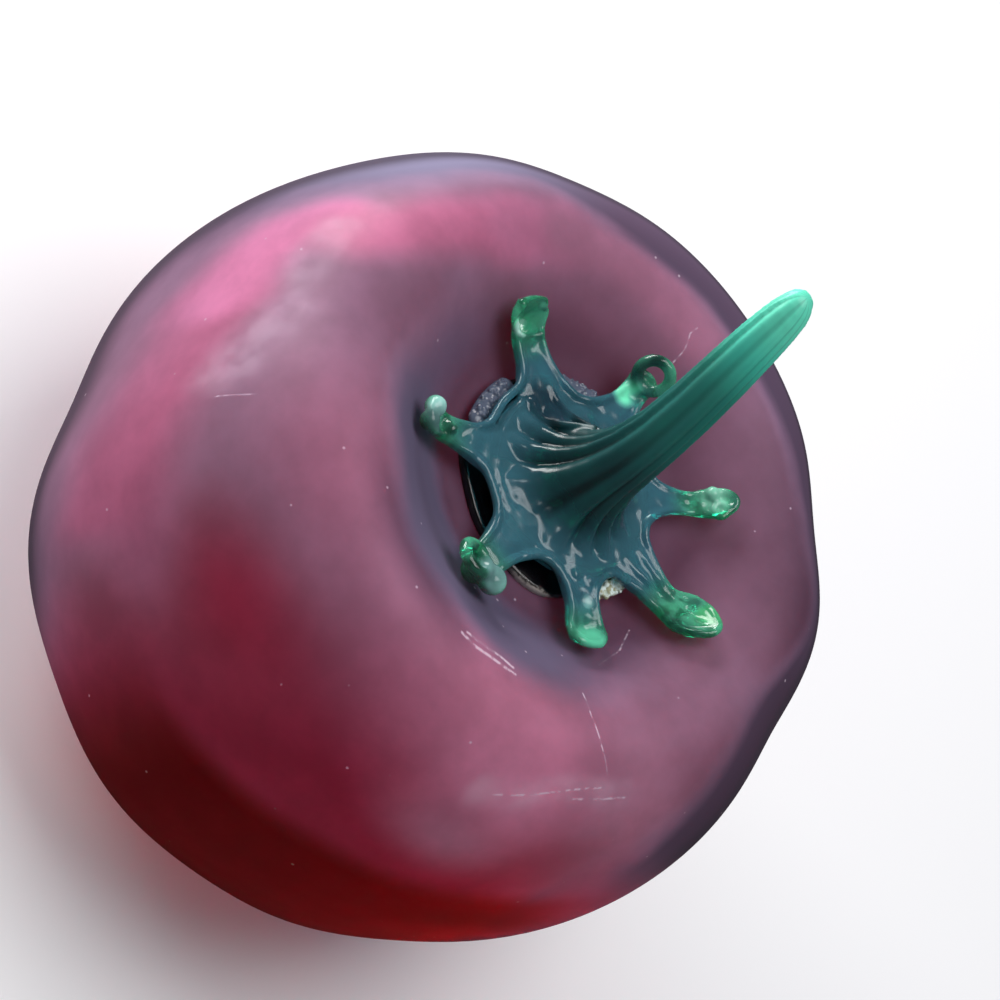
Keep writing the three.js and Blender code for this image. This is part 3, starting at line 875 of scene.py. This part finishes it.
# Painted glow: the sepals' ends are bright where light passes through them.
TIP_GLOW_GREEN = (0.20, 0.95, 0.58, 1)
# Greens up the stem, near black at the root as painted shade: height, colour.
STEM_GREENS_SHADED_AT_ROOT = (
    (64, (0.008, 0.10, 0.13, 1)),
    (72, (0.03, 0.36, 0.36, 1)),
    (82, (0.06, 0.66, 0.58, 1)),
    (91, (0.11, 1.0, 0.74, 1)),
    (97, (0.18, 1.0, 0.70, 1)),
)
# Painted shade in the grooves between the stem's ribs.
GROOVE_SHADE_GREEN = (0.002, 0.03, 0.04, 1)
STEM_CLEARNESS = 0.82
WEB_CLEARNESS = 0.72
STEM_TIP_CLEARNESS = 0.3
GREEN_DEPTHS = (0.04, 0.82, 0.74, 1)
GREEN_DENSITY = 650
# Painted glows and glints at the ends and roots of the sepals, and a painted shade by the far
# sepal's root: middle, reach, tint, clearness.
SEPAL_GLOWS_AND_SHADE = (
    ((8.9, 17.0, 67.3), (2.6, 2.6, 2.6), (0.36, 0.92, 0.66, 1), 0.45),
    ((21.1, 7.4, 67.0), (2.4, 2.4, 2.4), (0.14, 0.80, 0.34, 1), 0.60),
    ((16.5, -8.6, 65.2), (2.6, 2.6, 2.6), (0.18, 0.88, 0.55, 1), 0.45),
    ((12.8, -6.2, 65.2), (1.3, 1.3, 1.3), (0.50, 0.95, 0.85, 1), 0.40),
    ((5.4, -19.0, 66.8), (2.8, 2.8, 2.8), (0.50, 1.0, 0.90, 1), 0.20),
    ((-12.6, -15.6, 67.2), (2.8, 2.8, 2.8), (0.42, 0.82, 0.74, 1), 0.30),
    ((-18.0, 2.3, 65.8), (1.5, 1.5, 1.5), (0.55, 0.95, 0.80, 1), 0.30),
    ((-6.4, 13.2, 65.8), (2.4, 2.4, 2.4), (0.22, 1.0, 0.62, 1), 0.10),
    ((-8.6, 1.2, 64.4), (4.2, 3.2, 3.2), (0.045, 0.16, 0.24, 1), 0.80),
)

green = bpy.data.materials.new("green_drawn_glass")
green.use_nodes = True
glass = green.node_tree.nodes["Principled BSDF"]
place = put(green, "TexCoord", {})["Object"]
corner = put(green, "SeparateXYZ", {0: place})
height = corner["Z"]
out = from_axis(green, place)

# The stem grows paler as it rises from a root darkened as painted shade; the web is bluer and
# the sepals' ends are bright and streaked, as a painted glow.
colour = STEM_GREENS_SHADED_AT_ROOT[0][1]
for (low, shade), (high, next_shade) in zip(STEM_GREENS_SHADED_AT_ROOT, STEM_GREENS_SHADED_AT_ROOT[1:]):
    colour = blend(green, ease(green, height, low * MM, high * MM), colour, next_shade)
look = (colour, STEM_CLEARNESS)
on_web = ease(green, out, 3.5 * MM, 10 * MM)
on_web = reckon(green, "MULTIPLY", on_web, ease(green, height, 70 * MM, 65 * MM))
on_tip = ease(green, out, 13.5 * MM, 19 * MM)
on_tip = reckon(green, "MULTIPLY", on_tip, ease(green, height, 74 * MM, 71 * MM))
stem_tip = ease(green, height, 86 * MM, 97 * MM)
swirl = put(green, "TexNoise", {"Vector": place, "Scale": 420, "Detail": 2})["Fac"]
streak = ease(green, swirl, 0.40, 0.62)
tip_clearness = ease(green, streak, 0, 1, 0.92, 0.70)
look = lay_over(green, look, on_web, WEB_GREEN, WEB_CLEARNESS)
# Painted glow on the sepals' ends.
look = lay_over(green, look, on_tip, TIP_GLOW_GREEN, tip_clearness)
look = (look[0], between(green, stem_tip, look[1], STEM_TIP_CLEARNESS))
# Painted glows and glints on the sepals, and a painted shade by the far sepal's root.
for middle, reach, tint, clear in SEPAL_GLOWS_AND_SHADE:
    look = lay_over(green, look, soft_spot(green, place, middle, reach, 0.5), tint, clear)

# The grooves between the stem's ribs are darker, as painted shade, and follow the same lean and
# waver as its rings.
rise = {"Value": height, "From Min": STEM_FOOT * MM, "From Max": (STEM_FOOT + STEM_RISE) * MM}
risen = put(green, "MapRange", rise)["Result"]
lean = reckon(green, "POWER", risen, LEAN_POWER)
belly = reckon(green, "SINE", reckon(green, "MULTIPLY", risen, math.pi))
belly = reckon(green, "MULTIPLY", belly, STEM_BELLY * MM)
belly = reckon(green, "MULTIPLY", belly, reckon(green, "SUBTRACT", 1, risen))
middle_x = reckon(green, "MULTIPLY_ADD", lean, STEM_LEAN[0] * MM, belly)
from_middle_x = reckon(green, "SUBTRACT", corner["X"], middle_x)
from_middle_y = reckon(green, "MULTIPLY_ADD", lean, -STEM_LEAN[1] * MM, corner["Y"])
turn = reckon(green, "ARCTAN2", from_middle_y, from_middle_x)
second = reckon(green, "SINE", reckon(green, "MULTIPLY", turn, 2))
third = reckon(green, "SINE", reckon(green, "MULTIPLY_ADD", turn, 3, 1))
uneven = reckon(green, "MULTIPLY_ADD", second, RIB_WAVER[0], turn)
uneven = reckon(green, "MULTIPLY_ADD", third, RIB_WAVER[1], uneven)
crest = reckon(green, "COSINE", reckon(green, "MULTIPLY", uneven, STEM_RIBS / 2))
crest = reckon(green, "ABSOLUTE", crest)
groove_shade = ease(green, crest, 0.6, 0.1, 0, 0.75)
groove_shade = reckon(green, "MULTIPLY", groove_shade, ease(green, height, 64.6 * MM, 66 * MM))
groove_shade = reckon(green, "MULTIPLY", groove_shade, ease(green, height, 80 * MM, 68 * MM, 0.3, 1))
colour = blend(green, groove_shade, look[0], GROOVE_SHADE_GREEN)

satin = ease(green, height, 65.5 * MM, 69.5 * MM, 0.16, 0.38)
satin = between(green, on_tip, satin, 0.1)
green.node_tree.links.new(colour, glass.inputs["Base Color"])
green.node_tree.links.new(look[1], glass.inputs["Transmission Weight"])
green.node_tree.links.new(satin, glass.inputs["Roughness"])
glass.inputs["IOR"].default_value = 1.5
glass.inputs["Specular IOR Level"].default_value = 0.35
depths = put(green, "VolumeAbsorption", {"Color": GREEN_DEPTHS, "Density": GREEN_DENSITY})
green.node_tree.links.new(depths["Volume"], green.node_tree.nodes["Material Output"].inputs["Volume"])
calyx.data.materials.clear()
calyx.data.materials.append(green)
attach(calyx, "root")
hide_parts("calyx_and_stem")

# The floor: a wide pale table top that takes the fruit's soft shadow. It is painted matt.
# In mirror reflections it is dark and reddish, so that the skin doesn't mirror a white room.
TABLE_RADIUS = 5
TABLE_DROP = 0.2
TABLE_WHITE = (0.92, 0.92, 0.92, 1)
TABLE_MIRRORED = (0.18, 0.08, 0.08, 1)

bpy.ops.object.select_all(action="DESELECT")
bpy.ops.mesh.primitive_circle_add(
    vertices=96, radius=TABLE_RADIUS, fill_type="NGON", location=(0, 0, -TABLE_DROP * MM)
)
floor = bpy.context.object
floor.name = "pale_table"
bpy.ops.object.transform_apply(location=True)
table_paint = bpy.data.materials.new("pale_table_paint")
table_paint.use_nodes = True
paint = table_paint.node_tree.nodes["Principled BSDF"]
mirrored = put(table_paint, "LightPath", {})["Is Glossy Ray"]
shade = blend(table_paint, mirrored, TABLE_WHITE, TABLE_MIRRORED)
table_paint.node_tree.links.new(shade, paint.inputs["Base Color"])
paint.inputs["Roughness"].default_value = 0.9
paint.inputs["Specular IOR Level"].default_value = 0.1
floor.data.materials.append(table_paint)

# The light: a low soft window at the fruit's left, a weaker one overhead, and pale air all round.
# In mirror reflections the air is dimmer, for the same reason as the table.
AIR_COLOUR = (0.86, 0.88, 1, 1)
AIR_STRENGTH = 0.25
AIR_MIRRORED = 0.12
LIGHT_AIM = (0, 0, 0.04)


def soft_window(name, place, width, height, power, colour):
    """A rectangle of even light, aimed at the fruit."""
    lamp = bpy.data.lights.new(name, "AREA")
    lamp.shape = "RECTANGLE"
    lamp.size = width
    lamp.size_y = height
    lamp.energy = power
    lamp.color = colour
    window = bpy.data.objects.new(name, lamp)
    bpy.context.scene.collection.objects.link(window)
    direction = Vector(LIGHT_AIM) - Vector(place)
    window.matrix_world = Matrix.Translation(place) @ direction.to_track_quat("-Z", "Y").to_matrix().to_4x4()


soft_window("left_window", (-0.60, 0.09, 0.17), 0.6, 0.3, 6, (1, 0.98, 0.97))
soft_window("top_window", (0, 0.1, 0.75), 0.5, 0.5, 3.5, (1, 1, 1))
air = bpy.data.worlds.new("pale_air")
bpy.context.scene.world = air
air.use_nodes = True
air.node_tree.nodes["Background"].inputs["Color"].default_value = AIR_COLOUR
mirrored = put(air, "LightPath", {})["Is Glossy Ray"]
strength = between(air, mirrored, AIR_STRENGTH, AIR_MIRRORED)
air.node_tree.links.new(strength, air.node_tree.nodes["Background"].inputs["Strength"])

# The view: from the near side and above, turned so that the fruit's axis leans to the right.
# The centre of the fruit is off the middle of the picture, so the aim is settled step by step.
VIEW_ELEVATION = math.radians(50)
VIEW_ROLL = math.radians(26)
VIEW_DISTANCE = 0.3
FOCAL_PIXELS = 2475.7
FRUIT_CENTRE_PIXEL = (426.4, 551.5)
IMAGE_SIZE = 1000
SENSOR_WIDTH = 36
AIM_STEPS = 30

toward = Vector((0, -math.cos(VIEW_ELEVATION), math.sin(VIEW_ELEVATION)))
axis_up = (Vector((0, 0, 1)) - toward.z * toward).normalized()
axis_left = toward.cross(axis_up)
right_hint = math.cos(VIEW_ROLL) * axis_up - math.sin(VIEW_ROLL) * axis_left
right = right_hint.copy()
up = math.sin(VIEW_ROLL) * axis_up + math.cos(VIEW_ROLL) * axis_left
across = (FRUIT_CENTRE_PIXEL[0] - IMAGE_SIZE / 2) / FOCAL_PIXELS
down = (FRUIT_CENTRE_PIXEL[1] - IMAGE_SIZE / 2) / FOCAL_PIXELS
reach = math.sqrt(1 + across ** 2 + down ** 2)
for turn in range(AIM_STEPS):
    ahead = (-toward - (across * right - down * up) / reach).normalized()
    right = (right_hint - right_hint.dot(ahead) * ahead).normalized()
    up = right.cross(ahead)
lens = bpy.data.cameras.new("near_side_view")
lens.sensor_width = SENSOR_WIDTH
lens.lens = SENSOR_WIDTH * FOCAL_PIXELS / IMAGE_SIZE
lens.clip_start = 0.01
camera = bpy.data.objects.new("near_side_view", lens)
bpy.context.scene.collection.objects.link(camera)
eye = Vector((0, 0, EQUATOR_HEIGHT * MM)) + VIEW_DISTANCE * toward
camera.matrix_world = Matrix((
    (right.x, up.x, -ahead.x, eye.x),
    (right.y, up.y, -ahead.y, eye.y),
    (right.z, up.z, -ahead.z, eye.z),
    (0, 0, 0, 1),
))
bpy.context.scene.camera = camera
bpy.context.scene.view_settings.view_transform = "Standard"
